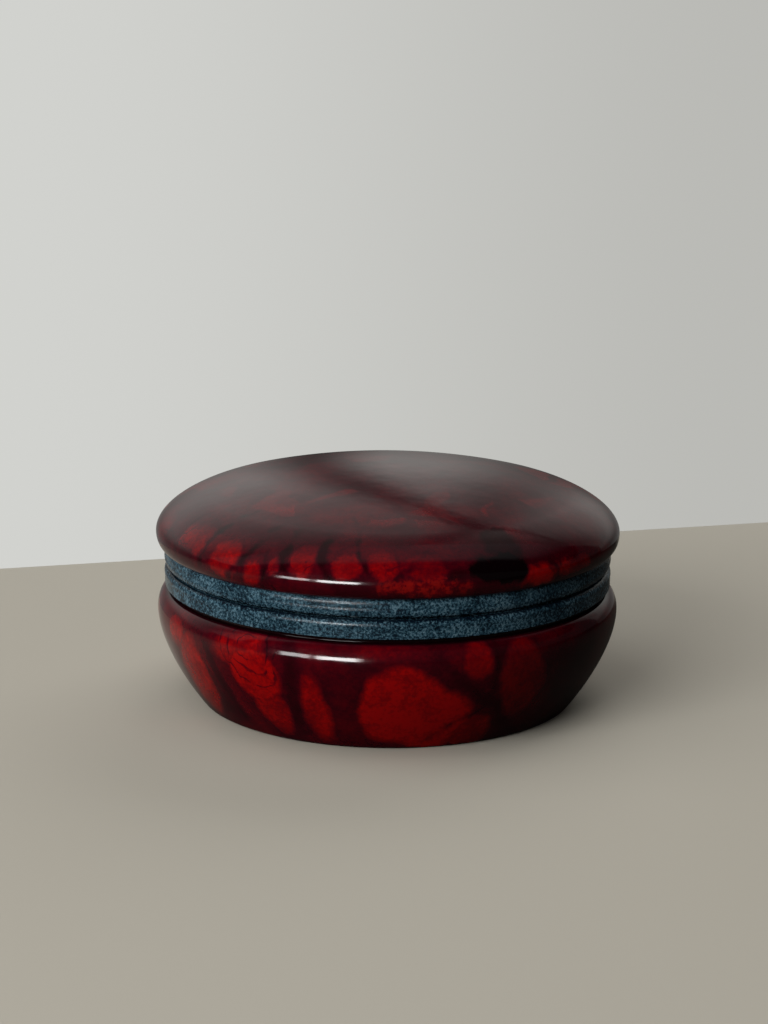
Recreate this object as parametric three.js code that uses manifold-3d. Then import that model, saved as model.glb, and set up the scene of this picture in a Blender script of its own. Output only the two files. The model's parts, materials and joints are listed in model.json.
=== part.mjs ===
// Round hinged box of red alabaster: a bulged bowl and a domed lid, each faced with a ring of blue stone.
// Millimetres, +Z up. The foot stands on z = 0, the box's axis is Z, the hinge is at +Y and the front at -Y.
import * as THREE from "three";
import { mergeVertices } from "three/addons/utils/BufferGeometryUtils.js";
import Module from "manifold-3d";

// Lid
const lidDiameter = 126;
const lidRise = 21; // lid ring to crown
const crownRadius = 187; // radius of the dome's spherical cap
const crownThickness = 8;
const rimRound = 13.8; // width of the rim's rounding, in from the widest line
const rimLevel = 3.9; // widest line above the lid ring
const rimTuck = 0.4; // the rim's underside ends this far inside the ring's face
const hollowCorner = 7; // width of the rounding at the hollow's ceiling
const hollowWall = 0.5; // straight stretch of the hollow above the lid ring

// Rings
const rimOverhang = 2.2; // lid beyond the rings
const ringWidth = 9.5;
const ringHeight = 5.1;
const seamGap = 0.3; // between the two rings when shut
const mouthChamfer = 0.5;

// Rounding of the rings' outer edges, across the face and up it
const baseSeamEdge = { across: 1.2, up: 1.8 };
const baseBondEdge = { across: 0.3, up: 0.3 };
const lidSeamEdge = { across: 1.3, up: 2.2 };
const lidBondEdge = { across: 0.8, up: 1.6 };

// Bowl
const bowlHeight = 32.1;
const shoulderOverhang = 1.9; // bowl beyond the rings
const shoulderDrop = 6.6; // widest line below the base ring
const footInset = 11.6; // foot inside the widest line
const footEdge = 0.9; // chamfer at the foot, across
const footEdgeRise = 0.45;
const grooveHeight = 1.1; // turned quirk under the base ring
const grooveDepth = 1.7;
const floorThickness = 8.5;
const wellCorner = 14;

// Handles of the turned curves, as shares of the stretch that each one bends
const footHandleOut = 0.46;
const footHandleUp = 0.28;
const shoulderHandle = 0.7;
const rimHandle = 0.5;
const capHandle = 0.32;

// Hinge
const hingeLength = 26;
const barrelRadius = 2;
const barrelInset = 1; // pin axis inside the rings' face
const pinRadius = 0.9;
const knuckleCount = 5;
const leafThickness = 1;
const leafMargin = 1; // stone left between a leaf and the mouth
const openAngle = 100; // degrees, where the lid leaf's heels meet the base leaf's flange
const heelAngle = 45; // degrees below the horizontal of a heel's corner when shut

// Screws
const screwHeadRadius = 1.4;
const screwShankRadius = 0.75;
const screwLength = 9;
const screwPoint = 0.75;
const screwFromEnd = 5; // screw axis inside the leaf's end
const slotWidth = 0.45;
const slotDepth = 0.4;

// Clearances
const pinClearance = 0.1;
const knuckleClearance = 0.3;
const stopClearance = 0.05;
const letInClearance = 0.2;
const screwClearance = 0.2;

// Facets
const turnSteps = 60;
const barrelSteps = 24;
const edgeSteps = 4;
const curveSteps = 7;
const weldDistance = 1e-4;

// Radii and levels that follow from the sizes above
const lidRadius = lidDiameter / 2;
const ringRadius = lidRadius - rimOverhang;
const mouthRadius = ringRadius - ringWidth;
const shoulderRadius = ringRadius + shoulderOverhang;
const footRadius = shoulderRadius - footInset;
const neckRadius = ringRadius - grooveDepth;
const shoulderLevel = bowlHeight - shoulderDrop;
const baseRingTop = bowlHeight + ringHeight;
const lidRingBottom = baseRingTop + seamGap;
const lidBottom = lidRingBottom + ringHeight;
const crownLevel = lidBottom + lidRise;

// Places in the hinge: nothing but the heels comes nearer to the pin's axis than barrelSwing
const pinY = ringRadius - barrelInset;
const pinZ = baseRingTop + seamGap / 2;
const barrelSwing = barrelRadius + knuckleClearance;
const stopAngle = THREE.MathUtils.degToRad(heelAngle + openAngle);
const heelReach = (barrelSwing - stopClearance) / -Math.cos(stopAngle);
const heelBack = heelReach * Math.cos(THREE.MathUtils.degToRad(heelAngle));
const heelDrop = heelReach * Math.sin(THREE.MathUtils.degToRad(heelAngle));
const leafBack = pinY - barrelSwing;
const leafFront = mouthRadius + leafMargin;
const screwX = hingeLength / 2 - screwFromEnd;
const screwY = (leafFront + leafBack - leafThickness) / 2;
const notchFloor = pinZ - heelReach - knuckleClearance;

const QUARTER = Math.PI / 2;
const wasm = await Module();
wasm.setup();

function solid(geometry) {
  const bare = geometry.clone();
  bare.deleteAttribute("normal");
  bare.deleteAttribute("uv");
  const merged = mergeVertices(bare, weldDistance);
  const mesh = new wasm.Mesh({
    numProp: 3,
    vertProperties: merged.attributes.position.array,
    triVerts: new Uint32Array(merged.index.array),
  });
  return new wasm.Manifold(mesh);
}

function named(name, shape, look) {
  const made = shape.getMesh();
  const geometry = new THREE.BufferGeometry();
  geometry.setAttribute("position", new THREE.BufferAttribute(made.vertProperties, 3));
  geometry.setIndex(new THREE.BufferAttribute(made.triVerts, 1));
  geometry.computeVertexNormals();
  const mesh = new THREE.Mesh(geometry, look.clone());
  mesh.name = name;
  return mesh;
}

// Outlines are lists of points, each a radius from the box's axis and a level.
const at = (radius, level) => new THREE.Vector2(radius, level);

function ellipse(centre, across, up, from, to, steps) {
  const turn = new THREE.EllipseCurve(centre.x, centre.y, across, up, from, to, to < from);
  return turn.getPoints(steps);
}

function turned(outline, steps) {
  return new THREE.LatheGeometry(outline, steps).rotateX(QUARTER);
}

function box(x0, x1, y0, y1, z0, z1) {
  const geometry = new THREE.BoxGeometry(x1 - x0, y1 - y0, z1 - z0);
  return solid(geometry.translate((x0 + x1) / 2, (y0 + y1) / 2, (z0 + z1) / 2));
}

// A round bar on the pin's axis.
function bar(radius, x0, x1) {
  const geometry = new THREE.CylinderGeometry(radius, radius, x1 - x0, barrelSteps);
  return solid(geometry.rotateZ(QUARTER).translate((x0 + x1) / 2, pinY, pinZ));
}

function bowlSolid() {
  const crest = bowlHeight - grooveHeight;
  const side = new THREE.CubicBezierCurve(
    at(footRadius, footEdgeRise),
    at(footRadius + footInset * footHandleOut, shoulderLevel * footHandleUp),
    at(shoulderRadius, shoulderLevel * shoulderHandle),
    at(shoulderRadius, shoulderLevel),
  );
  const shoulderCentre = at(neckRadius, shoulderLevel);
  const shoulderWidth = shoulderRadius - neckRadius;
  const cornerCentre = at(mouthRadius - wellCorner, floorThickness + wellCorner);
  const outline = [
    at(0, 0),
    at(footRadius - footEdge, 0),
    ...side.getPoints(curveSteps),
    ...ellipse(shoulderCentre, shoulderWidth, crest - shoulderLevel, 0, QUARTER, edgeSteps),
    at(neckRadius, bowlHeight),
    at(mouthRadius, bowlHeight),
    ...ellipse(cornerCentre, wellCorner, wellCorner, 0, -QUARTER, curveSteps),
    at(0, floorThickness),
  ];
  return solid(turned(outline, turnSteps));
}

function lidSolid() {
  const domeCentre = at(0, crownLevel - crownRadius);
  const ceilingRadius = crownRadius - crownThickness;
  const ceilingEdge = mouthRadius - hollowCorner;
  const onSphere = (size, radius) => at(radius, domeCentre.y + Math.sqrt(size * size - radius * radius));
  const corner = new THREE.QuadraticBezierCurve(
    onSphere(ceilingRadius, ceilingEdge),
    onSphere(ceilingRadius, mouthRadius),
    at(mouthRadius, lidBottom + hollowWall),
  );
  const widest = at(lidRadius, lidBottom + rimLevel);
  const tuck = at(ringRadius - rimTuck, widest.y);
  const capEnd = onSphere(crownRadius, lidRadius - rimRound);
  const capSlope = Math.asin(capEnd.x / crownRadius);
  const handle = rimRound * capHandle;
  const rim = new THREE.CubicBezierCurve(
    widest,
    at(lidRadius, widest.y + (capEnd.y - widest.y) * rimHandle),
    at(capEnd.x + handle * Math.cos(capSlope), capEnd.y - handle * Math.sin(capSlope)),
    capEnd,
  );
  const ceilingEnd = Math.acos(ceilingEdge / ceilingRadius);
  const outline = [
    ...ellipse(domeCentre, ceilingRadius, ceilingRadius, QUARTER, ceilingEnd, curveSteps),
    ...corner.getPoints(edgeSteps),
    at(mouthRadius, lidBottom),
    ...ellipse(tuck, lidRadius - tuck.x, rimLevel, -QUARTER, 0, edgeSteps),
    ...rim.getPoints(curveSteps),
    ...ellipse(domeCentre, crownRadius, crownRadius, QUARTER - capSlope, QUARTER, curveSteps),
  ];
  return solid(turned(outline, turnSteps));
}

// A ring from its bonded face at level 0 up to the seam.
function ringGeometry(bond, seam) {
  const bondCentre = at(ringRadius - bond.across, bond.up);
  const seamCentre = at(ringRadius - seam.across, ringHeight - seam.up);
  const outline = [
    at(mouthRadius, 0),
    ...ellipse(bondCentre, bond.across, bond.up, -QUARTER, 0, edgeSteps),
    ...ellipse(seamCentre, seam.across, seam.up, 0, QUARTER, edgeSteps),
    at(mouthRadius + mouthChamfer, ringHeight),
    at(mouthRadius, ringHeight - mouthChamfer),
    at(mouthRadius, 0),
  ];
  return turned(outline, turnSteps);
}

function baseRingSolid() {
  return solid(ringGeometry(baseBondEdge, baseSeamEdge).translate(0, 0, bowlHeight));
}

function lidRingSolid() {
  const flipped = ringGeometry(lidBondEdge, lidSeamEdge).rotateX(2 * QUARTER);
  return solid(flipped.translate(0, 0, lidBottom));
}

// A countersunk screw with its head at level 0, or the pocket that takes it when grown by a clearance.
function screwGeometry(growth) {
  const head = screwHeadRadius + growth;
  const shank = screwShankRadius + growth;
  const tip = -screwLength - growth;
  const outline = [
    at(0, tip),
    at(shank, tip + screwPoint),
    at(shank, screwShankRadius - screwHeadRadius),
    at(head, 0),
    at(head, growth),
    at(0, growth),
  ];
  return turned(outline, barrelSteps);
}

// The lid's screws point up and the base's point down, one on each side of the middle.
function placeScrew(geometry, side, isLid) {
  const level = isLid ? lidRingBottom : baseRingTop;
  const facing = isLid ? geometry.rotateX(2 * QUARTER) : geometry;
  return solid(facing.translate(side * screwX, screwY, level));
}

function screwSolid(side, isLid) {
  const slot = new THREE.BoxGeometry(4 * screwHeadRadius, slotWidth, 2 * slotDepth);
  return placeScrew(screwGeometry(0), side, isLid).subtract(placeScrew(slot, side, isLid));
}

function screwPockets(isLid) {
  const left = placeScrew(screwGeometry(screwClearance), -1, isLid);
  const right = placeScrew(screwGeometry(screwClearance), 1, isLid);
  return left.add(right);
}

// Knuckles are counted from the left: the first, third and fifth are the base leaf's.
function knuckleEnds(index) {
  const pitch = (hingeLength + knuckleClearance) / knuckleCount;
  const start = -hingeLength / 2 + index * pitch;
  return [start, start + pitch - knuckleClearance];
}

function leafSolid(isLid) {
  const low = isLid ? lidRingBottom : baseRingTop - leafThickness;
  const high = low + leafThickness;
  const end = hingeLength / 2;
  const flangeFront = leafBack - leafThickness;
  const intoBarrel = pinY - (barrelRadius + pinRadius) / 2;
  let leaf = box(-end, end, leafFront, leafBack, low, high);
  if (!isLid) {
    leaf = leaf.add(box(-end, end, flangeFront, leafBack, notchFloor, high));
  }
  for (let index = isLid ? 1 : 0; index < knuckleCount; index += 2) {
    const [x0, x1] = knuckleEnds(index);
    leaf = leaf.add(bar(barrelRadius, x0, x1));
    leaf = leaf.add(box(x0, x1, flangeFront, intoBarrel, low, high));
    if (isLid) {
      leaf = leaf.add(box(x0, x1, pinY, pinY + heelBack, pinZ - heelDrop, pinZ));
    }
  }
  const pinHole = bar(pinRadius + pinClearance, -hingeLength, hingeLength);
  return leaf.subtract(pinHole).subtract(screwPockets(isLid));
}

// What is cut from a ring: a mortise for the leaf, and a notch at the back for the barrel.
function hingeSeat(isLid) {
  const end = hingeLength / 2 + letInClearance;
  const front = leafFront - letInClearance;
  const outside = ringRadius + barrelSwing;
  if (isLid) {
    const below = lidRingBottom - barrelSwing;
    const mortise = box(-end, end, front, outside, below, lidRingBottom + leafThickness);
    return mortise.add(box(-end, end, leafBack, outside, below, pinZ + barrelSwing));
  }
  const above = baseRingTop + barrelSwing;
  const mortise = box(-end, end, front, outside, baseRingTop - leafThickness, above);
  return mortise.add(box(-end, end, leafBack - leafThickness, outside, notchFloor, above));
}

const redStone = new THREE.MeshStandardMaterial({ color: 0x7a0f14, roughness: 0.18, metalness: 0 });
const blueStone = new THREE.MeshStandardMaterial({ color: 0x39566a, roughness: 0.5, metalness: 0 });
const brass = new THREE.MeshStandardMaterial({ color: 0xb8923f, roughness: 0.32, metalness: 1 });
const basePockets = screwPockets(false);
const lidPockets = screwPockets(true);

const base = new THREE.Group();
base.add(
  named("base_bowl", bowlSolid().subtract(basePockets), redStone),
  named("base_ring", baseRingSolid().subtract(hingeSeat(false)).subtract(basePockets), blueStone),
  named("hinge_base_leaf", leafSolid(false), brass),
  named("hinge_pin", bar(pinRadius, -hingeLength / 2, hingeLength / 2), brass),
  named("base_screw_left", screwSolid(-1, false), brass),
  named("base_screw_right", screwSolid(1, false), brass),
);

const lid = new THREE.Group();
lid.add(
  named("lid_dome", lidSolid().subtract(lidPockets), redStone),
  named("lid_ring", lidRingSolid().subtract(hingeSeat(true)).subtract(lidPockets), blueStone),
  named("hinge_lid_leaf", leafSolid(true), brass),
  named("lid_screw_left", screwSolid(-1, true), brass),
  named("lid_screw_right", screwSolid(1, true), brass),
);

const alabasterBox = new THREE.Group();
alabasterBox.add(base, lid);

export default alabasterBox;
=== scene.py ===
import json
import math
from collections import namedtuple

import bmesh
import bpy
import numpy as np
from mathutils import Matrix, Vector, noise


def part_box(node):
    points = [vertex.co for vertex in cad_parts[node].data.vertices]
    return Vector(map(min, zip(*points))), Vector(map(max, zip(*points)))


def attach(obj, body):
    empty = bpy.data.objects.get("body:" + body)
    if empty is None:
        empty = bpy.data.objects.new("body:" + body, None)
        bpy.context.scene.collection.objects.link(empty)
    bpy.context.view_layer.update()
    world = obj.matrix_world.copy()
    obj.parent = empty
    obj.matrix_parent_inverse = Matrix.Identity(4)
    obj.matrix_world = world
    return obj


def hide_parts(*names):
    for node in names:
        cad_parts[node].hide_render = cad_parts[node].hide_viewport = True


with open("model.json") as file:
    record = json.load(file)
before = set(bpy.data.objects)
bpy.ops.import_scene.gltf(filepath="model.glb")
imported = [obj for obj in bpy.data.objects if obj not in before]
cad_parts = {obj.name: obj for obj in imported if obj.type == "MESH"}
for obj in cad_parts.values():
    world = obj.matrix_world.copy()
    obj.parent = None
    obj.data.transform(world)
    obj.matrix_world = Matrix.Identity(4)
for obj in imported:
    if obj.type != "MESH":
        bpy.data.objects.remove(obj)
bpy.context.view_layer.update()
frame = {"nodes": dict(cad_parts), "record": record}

scene = bpy.context.scene

# Sizes in millimetres. The boxes of the frame's nodes give the outer ones, and the rest repeat the part's.
MM = 0.001


def reach(node):
    """A node's highest corner in x and its lowest and highest level, in millimetres."""
    low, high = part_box(node)
    return high.x / MM, low.z / MM, high.z / MM


LID_RADIUS, LID_BOTTOM, CROWN_LEVEL = reach("lid_dome")
SHOULDER_RADIUS, _, BOWL_HEIGHT = reach("base_bowl")
RING_RADIUS, _, BASE_RING_TOP = reach("base_ring")
_, LID_RING_BOTTOM, _ = reach("lid_ring")
SEAM_LEVEL = (BASE_RING_TOP + LID_RING_BOTTOM) / 2
RING_HEIGHT = BASE_RING_TOP - BOWL_HEIGHT
RING_WIDTH = 9.5
MOUTH_RADIUS = RING_RADIUS - RING_WIDTH
MOUTH_CHAMFER = 0.5

# Lid
CROWN_RADIUS = 187
CROWN_THICKNESS = 8
RIM_ROUND = 13.8
RIM_LEVEL = 3.9
RIM_TUCK = 0.4
HOLLOW_CORNER = 7
HOLLOW_WALL = 0.5

# Bowl
SHOULDER_DROP = 6.6
FOOT_INSET = 11.6
FOOT_EDGE = 0.9
FOOT_EDGE_RISE = 0.45
GROOVE_HEIGHT = 1.1
GROOVE_DEPTH = 1.7
FLOOR_THICKNESS = 8.5
WELL_CORNER = 14

# Shares of a length that shape the curves of the bowl's side and the lid's rim
FOOT_HANDLE_OUT = 0.46
FOOT_HANDLE_UP = 0.28
SHOULDER_HANDLE = 0.7
RIM_HANDLE = 0.5
CAP_HANDLE = 0.32

# Rounding of the rings' outer edges, across the face and up it
BASE_BOND_EDGE, BASE_SEAM_EDGE = (0.3, 0.3), (1.2, 1.8)
LID_BOND_EDGE, LID_SEAM_EDGE = (0.8, 1.6), (1.3, 2.2)

# A fine turned ridge where the rounding at the seam starts
RIDGE_HEIGHT = 0.4
RIDGE_DEPTH = 0.1

# Chips along the seam: how deep, how far they reach from the corner, how long they are and how steep
CHIP_DEPTH = 0.28
CHIP_REACH = 1.1
CHIP_LENGTH = 2.2
CHIP_SLOPE = 0.7

# Fine chips among them: how much shorter, and their share of the depth
FINE_CHIPS = 2.7
FINE_SHARE = 0.6

# Hinge
HINGE_END, FLANGE_BOTTOM, _ = reach("hinge_base_leaf")
LEAF_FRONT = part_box("hinge_base_leaf")[0].y / MM
PIN_Y, PIN_Z = (p / MM for p in frame["record"]["behaviour"]["joints"][0]["pos_m"][1:])
LEAF_THICKNESS = 1
BARREL_SWING = 2.3
LET_IN = 0.2
SCREW_HEAD = 1.4
SCREW_SHANK = 0.75
SCREW_POINT = 0.75
SCREW_CLEARANCE = 0.2

# Easing of the hinge's edges
LEAF_EDGE = 0.12
PIN_EDGE = 0.15
SCREW_EDGE = 0.05

# Facets
TURN_STEPS = 240
RING_STEPS = 480
SCREW_STEPS = 24
EASING_STEPS = 2
MERGE_WITHIN = 0.002
QUARTER = math.pi / 2

# Angles between faces: up to the first they are joined, from the second eased, and up to the third smooth
FLAT_ANGLE = math.radians(1)
EASED_ANGLE = math.radians(30)
SMOOTH_ANGLE = math.radians(35)


# Outlines are lists of points, each a radius from the box's axis and a level.


def ellipse(centre, across, up, start, end, steps):
    angles = np.linspace(start, end, steps + 1)
    return [(centre[0] + across * math.cos(a), centre[1] + up * math.sin(a)) for a in angles]


def bezier(handles, steps):
    count = len(handles) - 1
    found = []
    for t in np.linspace(0, 1, steps + 1):
        weights = [math.comb(count, i) * t**i * (1 - t) ** (count - i) for i in range(count + 1)]
        found.append(tuple(sum(w * h[axis] for w, h in zip(weights, handles)) for axis in (0, 1)))
    return found


def straight(start, end, steps):
    """The points between start and end, without the two themselves."""
    shares = np.linspace(0, 1, steps + 1)[1:-1]
    return [tuple(a + (b - a) * share for a, b in zip(start, end)) for share in shares]


def bowl_outline():
    """From the middle of the foot up the outside, and down the well to the middle of its floor."""
    foot = SHOULDER_RADIUS - FOOT_INSET
    neck = RING_RADIUS - GROOVE_DEPTH
    shoulder = BOWL_HEIGHT - SHOULDER_DROP
    rise = SHOULDER_DROP - GROOVE_HEIGHT
    side = [
        (foot, FOOT_EDGE_RISE),
        (foot + FOOT_INSET * FOOT_HANDLE_OUT, shoulder * FOOT_HANDLE_UP),
        (SHOULDER_RADIUS, shoulder * SHOULDER_HANDLE),
        (SHOULDER_RADIUS, shoulder),
    ]
    flat_end = (foot - FOOT_EDGE, 0)
    corner = (MOUTH_RADIUS - WELL_CORNER, FLOOR_THICKNESS + WELL_CORNER)
    return [
        (0, 0),
        *straight((0, 0), flat_end, steps=6),
        flat_end,
        *bezier(side, steps=36),
        *ellipse((neck, shoulder), SHOULDER_RADIUS - neck, rise, 0, QUARTER, steps=16)[1:],
        (neck, BOWL_HEIGHT),
        (MOUTH_RADIUS, BOWL_HEIGHT),
        *ellipse(corner, WELL_CORNER, WELL_CORNER, 0, -QUARTER, steps=18),
        *straight((corner[0], FLOOR_THICKNESS), (0, FLOOR_THICKNESS), steps=8),
        (0, FLOOR_THICKNESS),
    ]


def dome_outline():
    """From the middle of the ceiling down the hollow, and up the rim to the middle of the crown."""
    centre = (0, CROWN_LEVEL - CROWN_RADIUS)
    ceiling = CROWN_RADIUS - CROWN_THICKNESS
    ceiling_edge = MOUTH_RADIUS - HOLLOW_CORNER

    def on_sphere(size, radius):
        return (radius, centre[1] + math.sqrt(size * size - radius * radius))

    widest = LID_BOTTOM + RIM_LEVEL
    tuck = RING_RADIUS - RIM_TUCK
    cap = on_sphere(CROWN_RADIUS, LID_RADIUS - RIM_ROUND)
    slope = math.asin(cap[0] / CROWN_RADIUS)
    handle = RIM_ROUND * CAP_HANDLE
    rim = [
        (LID_RADIUS, widest),
        (LID_RADIUS, widest + (cap[1] - widest) * RIM_HANDLE),
        (cap[0] + handle * math.cos(slope), cap[1] - handle * math.sin(slope)),
        cap,
    ]
    corner = [
        on_sphere(ceiling, ceiling_edge),
        on_sphere(ceiling, MOUTH_RADIUS),
        (MOUTH_RADIUS, LID_BOTTOM + HOLLOW_WALL),
    ]
    outline = [
        *ellipse(centre, ceiling, ceiling, QUARTER, math.acos(ceiling_edge / ceiling), steps=12),
        *bezier(corner, steps=12)[1:],
        (MOUTH_RADIUS, LID_BOTTOM),
        *ellipse((tuck, widest), LID_RADIUS - tuck, RIM_LEVEL, -QUARTER, 0, steps=16),
        *bezier(rim, steps=32)[1:],
        *ellipse(centre, CROWN_RADIUS, CROWN_RADIUS, QUARTER - slope, QUARTER, steps=26)[1:],
    ]
    outline[0] = (0, outline[0][1])
    outline[-1] = (0, outline[-1][1])
    return outline


def ring_outline(bond, seam):
    """A ring from its bonded face at level 0 up to the seam, with short steps there for its chips."""
    start = (MOUTH_RADIUS, 0)
    face = RING_RADIUS - RIDGE_DEPTH
    ridge = RING_HEIGHT - seam[1]
    side = ellipse((face - bond[0], bond[1]), bond[0], bond[1], -QUARTER, 0, steps=6)
    edge = ellipse((RING_RADIUS - seam[0], ridge), seam[0], seam[1], 0, QUARTER, steps=12)
    chamfer = (MOUTH_RADIUS + MOUTH_CHAMFER, RING_HEIGHT)
    return [
        start,
        *straight(start, side[0], steps=4),
        *side,
        *straight(side[-1], (face, ridge - RIDGE_HEIGHT), steps=3),
        (face, ridge - RIDGE_HEIGHT),
        *edge,
        *straight(edge[-1], chamfer, steps=10),
        chamfer,
        (MOUTH_RADIUS, RING_HEIGHT - MOUTH_CHAMFER),
    ]


# Meshes


def add_object(name, data):
    made = bpy.data.objects.new(name, data)
    scene.collection.objects.link(made)
    return made


def mesh_piece(name, points, faces):
    """A new object from points in millimetres."""
    mesh = bpy.data.meshes.new(name)
    mesh.from_pydata([tuple(p * MM for p in point) for point in points], [], faces)
    return add_object(name, mesh)


def turned(name, outline, steps, closed=False):
    """Turns an outline about the Z axis. A point at radius 0 becomes one pole."""
    points, rows, faces = [], [], []
    for radius, level in outline:
        if radius == 0:
            rows.append([len(points)] * steps)
            points.append((0, 0, level))
            continue
        rows.append(range(len(points), len(points) + steps))
        for step in range(steps):
            angle = 2 * math.pi * step / steps
            points.append((radius * math.sin(angle), -radius * math.cos(angle), level))
    pairs = list(zip(rows, rows[1:]))
    if closed:
        pairs.append((rows[-1], rows[0]))
    for lower, upper in pairs:
        for step in range(steps):
            after = (step + 1) % steps
            corners = [lower[step], lower[after], upper[after], upper[step]]
            faces.append(tuple(dict.fromkeys(corners)))
    return mesh_piece(name, points, faces)


def drawn_out(name, outline, end):
    """Draws an outline across Y and Z out along X, to the same end on both sides."""
    count = len(outline)
    points = [(x, y, z) for x in (-end, end) for y, z in outline]
    faces = [tuple(range(count)), tuple(range(count, 2 * count))]
    for corner in range(count):
        after = (corner + 1) % count
        faces.append((corner, after, after + count, corner + count))
    return mesh_piece(name, points, faces)


def move_points(piece, shift):
    """Moves each point of a piece by what shift says for it, in millimetres."""
    for vertex in piece.data.vertices:
        vertex.co += shift(vertex.co / MM) * MM


def change_mesh(piece, change):
    """Runs a change on a piece's mesh."""
    work = bmesh.new()
    work.from_mesh(piece.data)
    change(work)
    work.to_mesh(piece.data)
    work.free()


def face_outward(work):
    bmesh.ops.recalc_face_normals(work, faces=work.faces)


def split_faces(work):
    bmesh.ops.triangulate(work, faces=work.faces)


def join_flat_faces(work):
    bmesh.ops.remove_doubles(work, verts=work.verts, dist=MERGE_WITHIN * MM)
    bmesh.ops.dissolve_limit(work, angle_limit=FLAT_ANGLE, verts=work.verts, edges=work.edges)


def ready(piece):
    """Outward faces, and smooth shading up to an angle."""
    change_mesh(piece, face_outward)
    piece.data.polygons.foreach_set("use_smooth", [True] * len(piece.data.polygons))
    piece.data.set_sharp_from_angle(angle=SMOOTH_ANGLE)
    return piece


def settle(piece):
    """Makes the modifiers' result the piece's own mesh."""
    graph = bpy.context.evaluated_depsgraph_get()
    made = bpy.data.meshes.new_from_object(piece.evaluated_get(graph))
    piece.modifiers.clear()
    piece.data = made


def cut(piece, tools):
    for tool in tools:
        modifier = piece.modifiers.new("cut", "BOOLEAN")
        modifier.object = ready(tool)
        modifier.solver = "EXACT"
    settle(piece)
    for tool in tools:
        bpy.data.objects.remove(tool)
    return ready(piece)


# Cutters that make room for the hinge. A body is the base or the lid.


def seat_cutter(body):
    """A mortise for the leaf, with a notch at the back for the barrel."""
    front = LEAF_FRONT - LET_IN
    outside = RING_RADIUS + BARREL_SWING
    barrel = PIN_Y - BARREL_SWING
    if body == "lid":
        clear = LID_RING_BOTTOM - BARREL_SWING
        seat = LID_RING_BOTTOM + LEAF_THICKNESS
        deepest = PIN_Z + BARREL_SWING
    else:
        clear = BASE_RING_TOP + BARREL_SWING
        seat = BASE_RING_TOP - LEAF_THICKNESS
        deepest = FLANGE_BOTTOM
        barrel -= LEAF_THICKNESS
    mortise = [(outside, clear), (front, clear), (front, seat)]
    notch = [(barrel, seat), (barrel, deepest), (outside, deepest)]
    return drawn_out("cutter", mortise + notch, HINGE_END + LET_IN)


def screw_cutters(body):
    """The pockets of a body's two screws, from their heads to just past their points."""
    shank = SCREW_SHANK + SCREW_CLEARANCE
    head = SCREW_HEAD + SCREW_CLEARANCE
    facing = -1 if body == "lid" else 1
    cutters = []
    for side in ("left", "right"):
        low, high = (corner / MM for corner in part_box(f"{body}_screw_{side}"))
        length = high.z - low.z + SCREW_CLEARANCE
        outline = [
            (0, -length),
            (shank, SCREW_POINT - length),
            (shank, SCREW_SHANK - SCREW_HEAD),
            (head, 0),
            (head, SCREW_CLEARANCE),
            (0, SCREW_CLEARANCE),
        ]
        cutter = turned("cutter", outline, SCREW_STEPS)
        head_level = low.z if body == "lid" else high.z
        place = Vector(((low.x + high.x) / 2, (low.y + high.y) / 2, head_level))
        move_points(cutter, lambda point: place + Vector((0, 0, (facing - 1) * point.z)))
        cutters.append(cutter)
    return cutters


# Pieces


def chip(point):
    """Small losses along a ring's seam corner, which only take material away."""
    corner = RING_RADIUS - BASE_SEAM_EDGE[0]
    around = math.hypot(point.x, point.y)
    near = 1 - math.hypot(around - corner, point.z - SEAM_LEVEL) / CHIP_REACH
    if near <= 0:
        return Vector()
    spot = point / CHIP_LENGTH
    rough = noise.noise(spot) + FINE_SHARE * noise.noise(spot * FINE_CHIPS)
    depth = CHIP_DEPTH * near * max(0, rough)
    inward = Vector((-point.x, -point.y, 0)) / around
    return depth * (inward + Vector((0, 0, math.copysign(CHIP_SLOPE, point.z - SEAM_LEVEL))))


def chipped(ring):
    """Takes the losses off a ring, and splits the faces that they bend, so that it can be cut cleanly."""
    move_points(ring, chip)
    change_mesh(ring, split_faces)
    return ready(ring)


def bowl_stone():
    bowl = ready(turned("bowl_stone", bowl_outline(), TURN_STEPS))
    return cut(bowl, screw_cutters("base"))


def base_ring_stone():
    outline = ring_outline(BASE_BOND_EDGE, BASE_SEAM_EDGE)
    ring = turned("base_ring_stone", outline, RING_STEPS, closed=True)
    move_points(ring, lambda point: Vector((0, 0, BOWL_HEIGHT)))
    return cut(chipped(ring), [seat_cutter("base"), *screw_cutters("base")])


def dome_stone():
    dome = ready(turned("dome_stone", dome_outline(), TURN_STEPS))
    return cut(dome, screw_cutters("lid"))


def lid_ring_stone():
    """Like the base's ring, but turned over, with its bonded face up."""
    outline = ring_outline(LID_BOND_EDGE, LID_SEAM_EDGE)
    ring = turned("lid_ring_stone", outline, RING_STEPS, closed=True)
    move_points(ring, lambda point: Vector((0, 0, LID_BOTTOM - 2 * point.z)))
    return cut(chipped(ring), [seat_cutter("lid"), *screw_cutters("lid")])


def hinge_metal(node, edge):
    """A hinge part with its edges eased, in the place of the plain one."""
    piece = add_object(node + "_metal", frame["nodes"][node].data.copy())
    piece.data.materials.clear()
    change_mesh(piece, join_flat_faces)
    bevel = piece.modifiers.new("eased", "BEVEL")
    bevel.width = edge * MM
    bevel.segments = EASING_STEPS
    bevel.angle_limit = EASED_ANGLE
    settle(piece)
    return ready(piece)


# Camera and lamps, placed in metres. A long lens looks from a little above, as in the photograph.

CAMERA_PLACE = Vector((0, -0.7279, 0.2263))
CAMERA_PITCH = math.radians(13.56)
CAMERA_YAW = math.radians(0.086)
CAMERA_ROLL = math.radians(0.46)
CAMERA_SENSOR = 36
CAMERA_LENS = 96.72
LAMP_TARGET = Vector((0, 0, 0.04))
SKY_STRENGTH = 0.4
SKY_SPREAD = math.radians(40)
WORLD_GREY = 0.045


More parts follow.
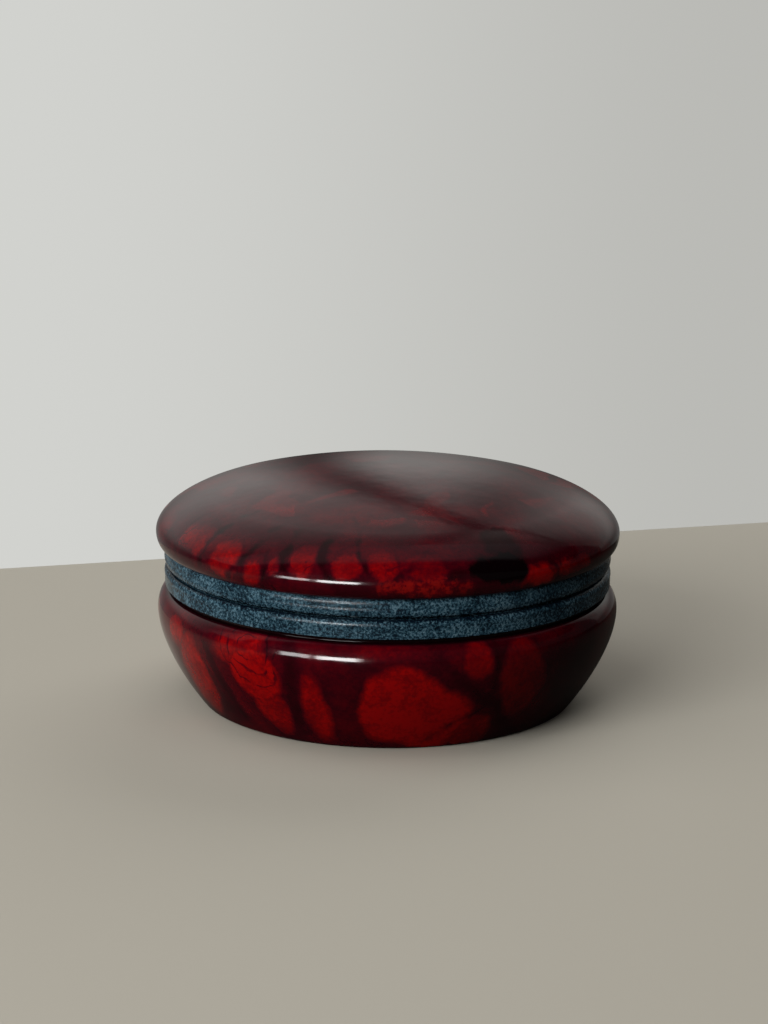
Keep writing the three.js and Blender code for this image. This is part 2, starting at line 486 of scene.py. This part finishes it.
def add_camera():
    data = bpy.data.cameras.new("camera")
    data.sensor_width = CAMERA_SENSOR
    data.lens = CAMERA_LENS
    camera = add_object("camera", data)
    turn = Matrix.Rotation(CAMERA_YAW, 4, "Z") @ Matrix.Rotation(QUARTER - CAMERA_PITCH, 4, "X")
    camera.matrix_world = Matrix.Translation(CAMERA_PLACE) @ turn @ Matrix.Rotation(CAMERA_ROLL, 4, "Z")
    scene.camera = camera


def add_sky():
    """Even light from straight above, which the polish doesn't mirror."""
    data = bpy.data.lights.new("sky", "SUN")
    data.energy = SKY_STRENGTH
    data.angle = SKY_SPREAD
    add_object("sky", data).visible_glossy = False


def add_lamp(name, azimuth, elevation, distance, size, power, mirrored=False):
    """A soft rectangular lamp that faces the box. Azimuth is from the front, towards the right.

    A mirrored lamp only shows in what is polished, and another only lights what is dull.
    """
    data = bpy.data.lights.new(name, "AREA")
    data.shape = "RECTANGLE"
    data.size, data.size_y = size
    data.energy = power
    lamp = add_object(name, data)
    a, e = math.radians(azimuth), math.radians(elevation)
    away = Vector((math.sin(a) * math.cos(e), -math.cos(a) * math.cos(e), math.sin(e)))
    lamp.location = LAMP_TARGET + away * distance
    lamp.rotation_mode = "QUATERNION"
    lamp.rotation_quaternion = away.to_track_quat("Z", "Y")
    lamp.visible_diffuse = not mirrored
    lamp.visible_glossy = mirrored


def add_lamps():
    windows = {"elevation": 6, "distance": 1.2, "mirrored": True}
    add_lamp("window_left", azimuth=-44, size=(0.31, 0.24), power=5.5, **windows)
    add_lamp("window_right", azimuth=-23.2, size=(0.41, 0.24), power=16, **windows)
    add_lamp("side", azimuth=-75, elevation=45, distance=1.6, size=(2.0, 2.0), power=13)
    add_lamp("front", azimuth=-36, elevation=22, distance=1.8, size=(1.2, 0.8), power=24)
    add_lamp("back", azimuth=155, elevation=35, distance=1.2, size=(1.0, 0.8), power=5)
    add_sky()


def add_world():
    """An even, dim grey on all sides."""
    scene.world = bpy.data.worlds.new("world")
    scene.world.use_nodes = True
    background = scene.world.node_tree.nodes["Background"]
    background.inputs["Color"].default_value = (WORLD_GREY, WORLD_GREY, WORLD_GREY, 1)


# Materials


class Look:
    """A material, with short ways to write its nodes. Lengths in its patterns are in millimetres."""

    def __init__(self, name):
        self.material = bpy.data.materials.new(name)
        self.material.use_nodes = True
        self.tree = self.material.node_tree
        self.shader = self.tree.nodes["Principled BSDF"]

    def feed(self, socket, value):
        if isinstance(value, bpy.types.NodeSocket):
            self.tree.links.new(value, socket)
        else:
            socket.default_value = value

    def add(self, kind, inputs, output=0, **settings):
        made = self.tree.nodes.new("ShaderNode" + kind)
        for name, value in settings.items():
            setattr(made, name, value)
        for key, value in inputs.items():
            self.feed(made.inputs[key], value)
        return made.outputs[output]

    def set(self, **values):
        for name, value in values.items():
            self.feed(self.shader.inputs[name.replace("_", " ")], value)

    def surface(self, shader):
        self.feed(self.tree.nodes["Material Output"].inputs["Surface"], shader)

    def place(self):
        where = self.add("TexCoord", {}, "Object")
        return self.add("VectorMath", {0: where, "Scale": 1 / MM}, operation="SCALE")

    def stretch(self, place, scale):
        return self.add("VectorMath", {0: place, 1: scale}, operation="MULTIPLY")

    def axis(self, place, name):
        return self.add("SeparateXYZ", {0: place}, name)

    def length(self, place):
        return self.add("VectorMath", {0: place}, "Value", operation="LENGTH")

    def from_axis(self, place):
        """How far a place lies from the box's axis."""
        return self.length(self.stretch(place, (1, 1, 0)))

    def math(self, operation, first, second=0.0):
        return self.add("Math", {0: first, 1: second}, operation=operation)

    def times(self, first, *others):
        for other in others:
            first = self.math("MULTIPLY", first, other)
        return first

    def apart(self, first, second):
        """How far two values lie apart."""
        return self.math("ABSOLUTE", self.math("SUBTRACT", first, second))

    def without(self, value, *taken):
        """The value, less each share of it in turn."""
        for share in taken:
            value = self.math("MULTIPLY", value, self.math("SUBTRACT", 1.0, share))
        return value

    def step(self, value, low, high, start=0.0, end=1.0):
        """Goes smoothly from start at low to end at high."""
        inputs = {"Value": value, "From Min": low, "From Max": high, "To Min": start, "To Max": end}
        return self.add("MapRange", inputs, interpolation_type="SMOOTHSTEP")

    def spread(self, value, start, end):
        """Takes the values that a noise mostly has to those from start to end."""
        return self.step(value, 0.3, 0.7, start, end)

    def noise(self, place, size, detail=2.0, roughness=0.5):
        inputs = {"Vector": place, "Scale": 1 / size, "Detail": detail, "Roughness": roughness}
        return self.add("TexNoise", inputs)

    def wander(self, place, size, amount):
        """Bends a place by slow noise."""
        inputs = {"Vector": place, "Scale": 1 / size, "Detail": 1.0}
        bend = self.add("TexNoise", inputs, "Color", normalize=False)
        return self.add("VectorMath", {0: bend, 1: (amount,) * 3, 2: place}, operation="MULTIPLY_ADD")

    def cells(self, place, size):
        """Each place's distance from its cell's border, and its cell's own value from 0 to 1."""
        inputs = {"Vector": place, "Scale": 1 / size}
        border = self.add("TexVoronoi", inputs, feature="DISTANCE_TO_EDGE")
        colour = self.add("TexVoronoi", inputs, "Color", feature="F1")
        return self.times(border, size), self.axis(colour, "X")

    def worn(self, low, high):
        """1 on sharp outer edges."""
        return self.step(self.add("NewGeometry", {}, "Pointiness"), low, high)

    def ramp(self, value, stops, interpolation="LINEAR"):
        made = self.tree.nodes.new("ShaderNodeValToRGB")
        made.color_ramp.interpolation = interpolation
        elements = made.color_ramp.elements
        while len(elements) < len(stops):
            elements.new(0.5)
        for element, (position, colour) in zip(elements, stops):
            element.position = position
            element.color = (*colour, 1)
        self.feed(made.inputs["Fac"], value)
        return made.outputs["Color"]

    def mix(self, share, first, second):
        """Blends two colours."""
        return self.add("Mix", {0: share, 6: first, 7: second}, 2, data_type="RGBA")

    def blend(self, share, first, second):
        """Blends two values."""
        return self.add("Mix", {0: share, 2: first, 3: second}, 0, data_type="FLOAT")

    def bump(self, height, distance):
        return self.add("Bump", {"Height": height, "Distance": distance * MM, "Strength": 1.0})


# Figure of the alabaster at the front: azimuth from the front in degrees, radius, level, half width,
# half height, lean in degrees and strength. Patches are red, and shades and veins are dark.

Patch = namedtuple("Patch", "azimuth radius level width height lean strength")

BOWL_PATCHES = [
    (-82, 61, 20, 6, 10, 0, 0.7),
    (-64, 62.5, 24.5, 5.2, 4.4, 0, 0.85),
    (-57.5, 60, 13.5, 7.2, 13, 3, 0.9),
    (-42, 59, 12, 4, 9, -18, 0.45),
    (-38, 62, 27, 9.5, 5, -20, 0.8),
    (-34, 62, 20.5, 7.8, 8.3, -28, 1.0),
    (-30.5, 58, 10, 5, 9, -14, 0.8),
    (-18.3, 59, 12, 3.8, 11, -6, 0.9),
    (4, 60, 14, 12, 12.5, 8, 1.0),
    (12, 57, 9, 10.5, 9, -30, 1.0),
    (24, 54.5, 5, 6, 5, 0, 0.75),
    (-1, 61.2, 29, 15, 3, 0, 0.5),
    (21.3, 61.8, 26, 4.4, 5.5, 0, 0.72),
    (34.5, 61, 18.5, 8, 12, -14, 0.62),
    (66, 61, 16, 9, 9, 15, 0.4),
]
BOWL_SHADES = [
    (-46.3, 60, 15.5, 1.7, 12, -18, 0.5),
    (-24, 60, 16, 2.0, 14, 0, 0.45),
    (18, 55.5, 7, 0.3, 5.5, 55, 0.5),
    (24, 59.5, 15, 1.8, 15, -47, 0.45),
    (26, 62, 24, 0.6, 7, 2, 0.5),
    (53, 61, 20, 9, 13, 0, 0.25),
]
BOWL_SWIRL = Patch(-35, 62, 28, 8, 10.5, -25, 0.5)
BOWL_PATCH_DEPTH = 40
LID_PATCHES = [
    (-76, 61, 50, 5, 4, 0, 0.45),
    (-56, 60, 51.4, 8.5, 3.6, 0, 0.62),
    (-42.3, 61.5, 49.4, 5, 5.6, 40, 0.78),
    (-34, 62.6, 48, 3, 3.2, 20, 0.8),
    (-27.8, 62, 49.3, 2, 2.2, 0, 0.7),
    (-20.6, 61, 50.5, 4.7, 4.4, 0, 0.74),
    (-9.3, 61, 50.6, 4.4, 4.2, 0, 0.8),
    (-0.6, 60, 51.8, 4.8, 4.4, 0, 0.75),
    (9.5, 60.5, 51, 7, 4, 0, 0.58),
    (8, 62.8, 46, 13, 3, 0, 0.5),
    (39, 62.8, 46.3, 8, 2.8, 0, 0.95),
    (52, 62.8, 46.3, 9, 2.3, 0, 0.7),
    (66, 62.5, 47, 7, 3, 0, 0.4),
]
LID_SHADES = [
    (24, 62, 49.4, 4.5, 3, 0, 1.0),
    (29, 62, 49.2, 5, 3.3, 0, 1.0),
    (33, 61.5, 48.6, 3.4, 3.3, 0, 1.0),
    (29, 60, 51, 6.5, 2.4, 0, 1.0),
    (31, 56, 54, 6, 4, 0, 0.7),
    (18, 62.5, 48.8, 3.5, 1.6, 0, 0.6),
    (-49.5, 57, 53, 0.7, 5, 12, 0.7),
    (-37.3, 59.5, 51, 0.8, 6.5, 36, 0.75),
    (-30.7, 62.2, 48.7, 0.6, 3, 0, 0.6),
    (-25.4, 60, 51, 1.2, 5.5, -18, 0.7),
    (-15.4, 59.5, 51.5, 1.2, 5.5, -24, 0.75),
    (-6.4, 58.5, 52.4, 0.6, 5, -32, 0.75),
    (4.5, 60.5, 50, 0.4, 4, 60, 0.5),
]
LID_CRUMBS = [(8.8, 62.9, 46, 11, 2.8, 0, 0.74)]
CRUMB_COLOUR = (0.26, 0.006, 0.004, 1)

# Set low, because the stones mirror only weakly in the photograph
ALABASTER_IOR = 1.3
RING_STONE_IOR = 1.2


def away_from(look, place, patch, depth):
    """0 at the middle of a patch, and 1 on the ellipsoid that bounds it."""
    turn = math.radians(patch.azimuth)
    across, forward = math.sin(turn), math.cos(turn)
    inputs = {
        "Vector": place,
        "Location": (patch.radius * across, -patch.radius * forward, patch.level),
        "Rotation": (0, math.radians(patch.lean), turn),
        "Scale": (patch.width, depth, patch.height),
    }
    return look.length(look.add("Mapping", inputs, vector_type="TEXTURE"))


def figure(look, place, rows, depth, soft, stray):
    """The strength of the strongest patch at each place, and 0 between patches.

    Depth is how far patches reach into the stone, and outlines are soft and stray by the other two lengths.
    """
    uneven = look.spread(look.noise(place, 4, detail=4.0, roughness=0.55), -stray, stray)
    found = 0.0
    for patch in map(Patch._make, rows):
        beyond = look.math("SUBTRACT", away_from(look, place, patch, depth), 1.0)
        margin = look.math("ADD", look.times(beyond, min(patch.width, patch.height)), uneven)
        found = look.math("MAXIMUM", found, look.step(margin, soft, -soft, 0, patch.strength))
    return found


def bend(look, place):
    """Bends a place at two scales, so that the figure's outlines run unevenly."""
    return look.wander(look.wander(place, size=18, amount=2.0), size=6, amount=0.4)


def veil(look, place, size, most):
    """The faint cloudy tone that shows between patches."""
    return look.spread(look.noise(place, size, detail=3.0), 0.2, most)


def grain(look, place):
    """Cloudy stone with fine grains, as a factor of its tone."""
    cloud = look.spread(look.noise(place, 6, detail=5.0, roughness=0.6), 0.8, 1.12)
    grains = look.spread(look.noise(place, 1.0, roughness=0.6), 0.84, 1.12)
    return look.times(cloud, grains)


def broken_stone(look, place, size):
    """Red cells with dark seams between them, for the sides that the front's figure doesn't reach."""
    border, value = look.cells(look.wander(place, size=14, amount=5.0), size)
    red = look.step(value, 0, 1, 0.3, 0.95)
    return look.times(red, look.step(border, 0.3, 2.2, 0.3, 1))


def hairlines(look, place, size):
    """Fine cracks, where a slow noise lets them through."""
    border, _ = look.cells(look.wander(place, size=4, amount=1.6), size)
    allowed = look.step(look.noise(place, 11), 0.52, 0.64, 0.0, 0.4)
    return look.times(look.step(border, 0.32, 0.08), allowed)


def swirl_lines(look, place, bent):
    """Nested lines in the bowl's left patch."""
    away = away_from(look, bent, BOWL_SWIRL, BOWL_PATCH_DEPTH)
    uneven = look.spread(look.noise(place, 7, detail=3.0), -0.12, 0.12)
    wave = look.math("PINGPONG", look.math("ADD", away, uneven), 0.17)
    shown = look.times(look.step(away, 1.25, 1.0), look.step(look.noise(place, 5), 0.4, 0.5))
    return look.times(shown, look.step(wave, 0.05, 0.01, 0, BOWL_SWIRL.strength))


def groove_painted_shade(look, place):
    """Painted shade, dark in the groove under the base's ring, where little light gets in."""
    under_ring = look.step(look.from_axis(place), RING_RADIUS + 0.2, RING_RADIUS - 0.9)
    near_ring = look.step(look.axis(place, "Z"), BOWL_HEIGHT - 3, BOWL_HEIGHT - 2)
    return look.times(under_ring, near_ring, 0.9)


def crumbs(look, place, bent):
    """Crumbs of brighter red, low on the lid's rim."""
    crumbly = look.step(look.noise(place, 2.0, detail=3.0, roughness=0.6), 0.4, 0.6)
    return look.times(crumbly, figure(look, bent, LID_CRUMBS, depth=4, soft=1.0, stray=0.8))


def alabaster_colour(look, tone):
    return look.ramp(
        tone,
        [
            (0.0, (0.0025, 0.0006, 0.0010)),
            (0.25, (0.034, 0.0004, 0.0034)),
            (0.45, (0.075, 0.0005, 0.0036)),
            (0.7, (0.150, 0.0006, 0.0024)),
            (1.0, (0.285, 0.0015, 0.0020)),
        ],
    )


def within_mouth(look, place):
    """1 within the radius of the box's mouth."""
    return look.step(look.from_axis(place), MOUTH_RADIUS + 0.4, MOUTH_RADIUS + 0.1)


def polish(look, colour, place, inside):
    """Wax polish over worn, faintly rippled stone, and a duller finish inside."""
    scuffs = look.noise(place, 9, detail=6.0, roughness=0.7)
    ripple = look.noise(place, 8)
    outer = look.spread(scuffs, 0.07, 0.15)
    inner = look.spread(scuffs, 0.32, 0.42)
    look.set(
        Base_Color=colour,
        Roughness=look.blend(inside, outer, inner),
        IOR=ALABASTER_IOR,
        Normal=look.bump(ripple, 0.08),
    )
    return look.material


def bowl_alabaster():
    look = Look("bowl_alabaster")
    place = look.place()
    bent = bend(look, place)
    behind = look.step(look.axis(bent, "Y"), -14, 6)
    red = figure(look, bent, BOWL_PATCHES, BOWL_PATCH_DEPTH, soft=1.8, stray=0.25)
    tone = look.blend(behind, red, broken_stone(look, place, 19))
    tone = look.math("MAXIMUM", tone, veil(look, place, 13, 0.42))
    shades = look.without(figure(look, bent, BOWL_SHADES, BOWL_PATCH_DEPTH, soft=0.9, stray=0.5), behind)
    cracks = look.times(hairlines(look, place, 8), behind)
    # The darkening in the groove under the ring is painted shade.
    tone = look.without(tone, shades, swirl_lines(look, place, bent), cracks, groove_painted_shade(look, place))
    colour = alabaster_colour(look, look.times(tone, grain(look, place)))
    above_floor = look.step(look.axis(place, "Z"), FLOOR_THICKNESS - 1, FLOOR_THICKNESS)
    return polish(look, colour, place, look.times(within_mouth(look, place), above_floor))


def dome_alabaster():
    look = Look("dome_alabaster")
    place = look.place()
    bent = bend(look, place)
    around, level = look.from_axis(place), look.axis(place, "Z")
    behind = look.step(look.axis(bent, "Y"), -16, 4)
    red = figure(look, bent, LID_PATCHES, depth=9, soft=1.3, stray=0.7)
    red = look.times(red, look.step(level, 50.5, 55, 1, 0.5))
    back = look.times(broken_stone(look, place, 14), look.step(around, 36, 56, 0.45, 1))
    shown = look.math("MAXIMUM", behind, look.step(around, 52, 40))
    tone = look.math("MAXIMUM", red, look.times(back, shown))
    tone = look.math("MAXIMUM", tone, veil(look, place, 15, 0.36))
    shades = figure(look, bent, LID_SHADES, depth=14, soft=0.8, stray=0.6)
    cracks = look.times(hairlines(look, place, 7), look.step(around, 40, 58))
    tone = look.without(tone, shades, cracks)
    colour = alabaster_colour(look, look.times(tone, grain(look, place)))
    colour = look.mix(crumbs(look, place, bent), colour, CRUMB_COLOUR)
    ceiling = CROWN_LEVEL - CROWN_THICKNESS
    under_ceiling = look.step(level, ceiling + 0.5, ceiling + 0.2)
    return polish(look, colour, place, look.times(within_mouth(look, place), under_ceiling))


def seam_painted_shade(look, place, speckle):
    """Painted shade, ragged and dark along the seam between the rings, on the outside only."""
    from_seam = look.apart(look.axis(place, "Z"), SEAM_LEVEL)
    ragged = look.math("ADD", from_seam, look.step(speckle, 0.35, 0.65, -0.3, 0.3))
    outer = look.step(look.from_axis(place), RING_RADIUS - 1.4, RING_RADIUS - 1.0)
    return look.times(look.step(ragged, 1.0, 0.5, 0, 0.92), outer)


def blue_stone():
    """Speckled blue-grey stone with a satin finish, paler where its edges are worn."""
    look = Look("blue_stone")
    place = look.place()
    speckle = look.noise(place, 0.65, detail=3.0, roughness=0.75)
    cloud = look.spread(look.noise(place, 7), -0.05, 0.05)
    colour = look.ramp(
        look.math("ADD", speckle, cloud),
        [
            (0.39, (0.003, 0.008, 0.014)),
            (0.47, (0.012, 0.033, 0.050)),
            (0.55, (0.036, 0.088, 0.122)),
            (0.65, (0.110, 0.190, 0.235)),
        ],
    )
    # Painted shade along the seam, in a dark navy.
    colour = look.mix(seam_painted_shade(look, place, speckle), colour, (0.001, 0.004, 0.009, 1))
    worn = look.times(look.worn(0.53, 0.6), look.step(speckle, 0.4, 0.6))
    look.set(
        Base_Color=look.mix(worn, colour, (0.11, 0.16, 0.19, 1)),
        Roughness=look.step(speckle, 0.35, 0.65, 0.26, 0.14),
        IOR=RING_STONE_IOR,
        Normal=look.bump(speckle, 0.05),
    )
    return look.material


def brass():
    """Brushed brass, browned where it isn't touched and bright on its edges."""
    look = Look("hinge_brass")
    place = look.place()
    tarnish = look.noise(place, 3, detail=5.0, roughness=0.65)
    brushed = look.noise(look.stretch(place, (0.05, 1, 1)), 0.16)
    colour = look.ramp(
        tarnish,
        [(0.3, (0.20, 0.115, 0.035)), (0.5, (0.46, 0.30, 0.10)), (0.7, (0.62, 0.44, 0.17))],
    )
    look.set(
        Base_Color=look.mix(look.worn(0.52, 0.6), colour, (0.74, 0.56, 0.24, 1)),
        Metallic=1.0,
        Roughness=look.step(look.math("ADD", tarnish, brushed), 0.7, 1.3, 0.5, 0.22),
        Normal=look.bump(brushed, 0.012),
    )
    return look.material


# Stage

FLOOR_REACH = 40000
FLOOR_COLOUR = (0.46, 0.43, 0.365)
FLOOR_LIGHT = 0.88
WALL_BEHIND = 163
WALL_SLOPE = 0.28
WALL_REACH = 500
# Painted light on the wall: brighter on the left, where the light comes from, and dimmer on the right.
WALL_LEFT_PAINTED_LIGHT = (0.64, 0.645, 0.62)
WALL_RIGHT_PAINTED_LIGHT = (0.49, 0.49, 0.465)
WALL_SHADE_END = 130
CEILING_LEVEL = 560
CEILING_REACH = 1800
CEILING_DEPTH = 450
CEILING_LIGHT = 0.4
CEILING_SKEW = 0.2

# Painted shade on the wall, in two dark streaks that only polished stone mirrors: a bent one, with its
# leftmost point, and an upright one
BENT_STREAK_X = -30
BENT_STREAK_LEVEL = 80
STREAK_BEND = 0.0036
UPRIGHT_STREAK_X = 65


def returned_light(look, place):
    """The share of its light that the floor sends to the box, with less from the front and the right."""
    front_and_right = look.math("SUBTRACT", look.axis(place, "X"), look.axis(place, "Y"))
    by_side = look.step(front_and_right, -100, 0, 0.9, 0.12)
    by_distance = look.step(look.length(place), 120, 450, 1, 0.25)
    return look.times(by_side, by_distance)


def matte_floor():
    """Pale and dull, lit near the box and as bright by itself further off."""
    look = Look("floor")
    place = look.place()
    seen = look.add("LightPath", {}, "Is Camera Ray")
    share = look.math("MAXIMUM", returned_light(look, place), seen)
    colour = look.add("VectorMath", {0: FLOOR_COLOUR, "Scale": share}, operation="SCALE")
    look.set(Base_Color=colour, Roughness=1.0, Specular_IOR_Level=0.0)
    bright = look.add("Emission", {"Color": colour, "Strength": FLOOR_LIGHT})
    far = look.step(look.length(place), 350, 1000)
    shining = look.without(far, look.add("LightPath", {}, "Is Diffuse Ray"))
    look.surface(look.add("MixShader", {0: shining, 1: look.shader.outputs["BSDF"], 2: bright}))
    return look.material


def painted_shade_streaks(look, across, level):
    # Painted shade: the two dark streaks that polished stone mirrors.
    lift = look.math("SUBTRACT", level, BENT_STREAK_LEVEL)
    middle = look.math("ADD", look.times(lift, lift, STREAK_BEND), BENT_STREAK_X)
    bent = look.step(look.apart(across, middle), 0, 32, 0.22, 1)
    upright = look.step(look.apart(across, UPRIGHT_STREAK_X), 0, 50, 0.45, 1)
    return look.times(bent, upright)


def dim_edges(look, across, level):
    left = look.step(across, -450, -150, 0.4, 1.2)
    right = look.step(across, 120, 400, 1, 0.4)
    # Painted shadow of the box, darker at the foot of the wall.
    bottom = look.step(level, 40, 115, 0.3, 1)
    top = look.step(level, 130, 460, 1, 0.48)
    return look.times(left, right, bottom, top)


def pale_wall():
    """Bright by itself, and clear from behind, so that it hides nothing there.

    Polished stone mirrors it with two streaks of painted shade, and dimmer towards its edges, with a
    painted shadow of the box at its foot.
    """
    look = Look("wall")
    place = look.place()
    across, level = look.axis(place, "X"), look.axis(place, "Z")
    # Painted light, brighter on the left of the wall than on its right.
    shade = look.ramp(
        look.add("MapRange", {"Value": across, "From Min": -WALL_SHADE_END, "From Max": WALL_SHADE_END}),
        [(0.0, WALL_LEFT_PAINTED_LIGHT), (1.0, WALL_RIGHT_PAINTED_LIGHT)],
        "EASE",
    )
    mirrored = look.times(painted_shade_streaks(look, across, level), dim_edges(look, across, level))
    strength = look.blend(look.add("LightPath", {}, "Is Glossy Ray"), 1.0, mirrored)
    bright = look.add("Emission", {"Color": shade, "Strength": strength})
    clear = look.add("BsdfTransparent", {})
    behind = look.add("NewGeometry", {}, "Backfacing")
    look.surface(look.add("MixShader", {0: behind, 1: bright, 2: clear}))
    return look.material


def mirrored_ceiling():
    """Bright above the box, and dark towards the front and the right."""
    look = Look("ceiling")
    place = look.place()
    across = look.axis(place, "X")
    behind = look.math("SUBTRACT", look.axis(place, "Y"), look.times(across, CEILING_SKEW))
    light = look.step(behind, -105, -5, 0, CEILING_LIGHT)
    strength = look.times(light, look.step(across, 80, 700, 1, 0))
    look.surface(look.add("Emission", {"Strength": strength}))
    return look.material


def sheet(name, corners, material):
    made = mesh_piece(name, corners, [(0, 1, 2, 3)])
    material.cycles.emission_sampling = "NONE"
    made.data.materials.append(material)
    return made


def level_sheet(name, side, depth, level, material):
    corners = [(-side, -depth, level), (side, -depth, level), (side, depth, level), (-side, depth, level)]
    return sheet(name, corners, material)


def wall_sheet():
    side, high = WALL_REACH, WALL_REACH
    left, right = WALL_BEHIND - WALL_SLOPE * side, WALL_BEHIND + WALL_SLOPE * side
    corners = [(-side, left, 0), (side, right, 0), (side, right, high), (-side, left, high)]
    return sheet("wall", corners, pale_wall())


def add_stage():
    """A floor and a wall, and a ceiling that only the polish mirrors."""
    level_sheet("floor", FLOOR_REACH, FLOOR_REACH, 0, matte_floor())
    wall = wall_sheet()
    ceiling = level_sheet("ceiling", CEILING_REACH, CEILING_DEPTH, CEILING_LEVEL, mirrored_ceiling())
    ceiling.visible_camera = False
    for bright in (wall, ceiling):
        bright.visible_shadow = False
        bright.visible_diffuse = False


# The box on its stage


def dress(piece, body, node, material):
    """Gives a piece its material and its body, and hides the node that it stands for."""
    piece.data.materials.append(material)
    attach(piece, body)
    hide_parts(node)


blue = blue_stone()
metal = brass()
dress(bowl_stone(), "base", "base_bowl", bowl_alabaster())
dress(base_ring_stone(), "base", "base_ring", blue)
dress(dome_stone(), "lid", "lid_dome", dome_alabaster())
dress(lid_ring_stone(), "lid", "lid_ring", blue)
for node, body, edge in (
    ("hinge_base_leaf", "base", LEAF_EDGE),
    ("hinge_pin", "base", PIN_EDGE),
    ("base_screw_left", "base", SCREW_EDGE),
    ("base_screw_right", "base", SCREW_EDGE),
    ("hinge_lid_leaf", "lid", LEAF_EDGE),
    ("lid_screw_left", "lid", SCREW_EDGE),
    ("lid_screw_right", "lid", SCREW_EDGE),
):
    dress(hinge_metal(node, edge), body, node, metal)

add_camera()
add_stage()
add_lamps()
add_world()
scene.view_settings.view_transform = "Standard"
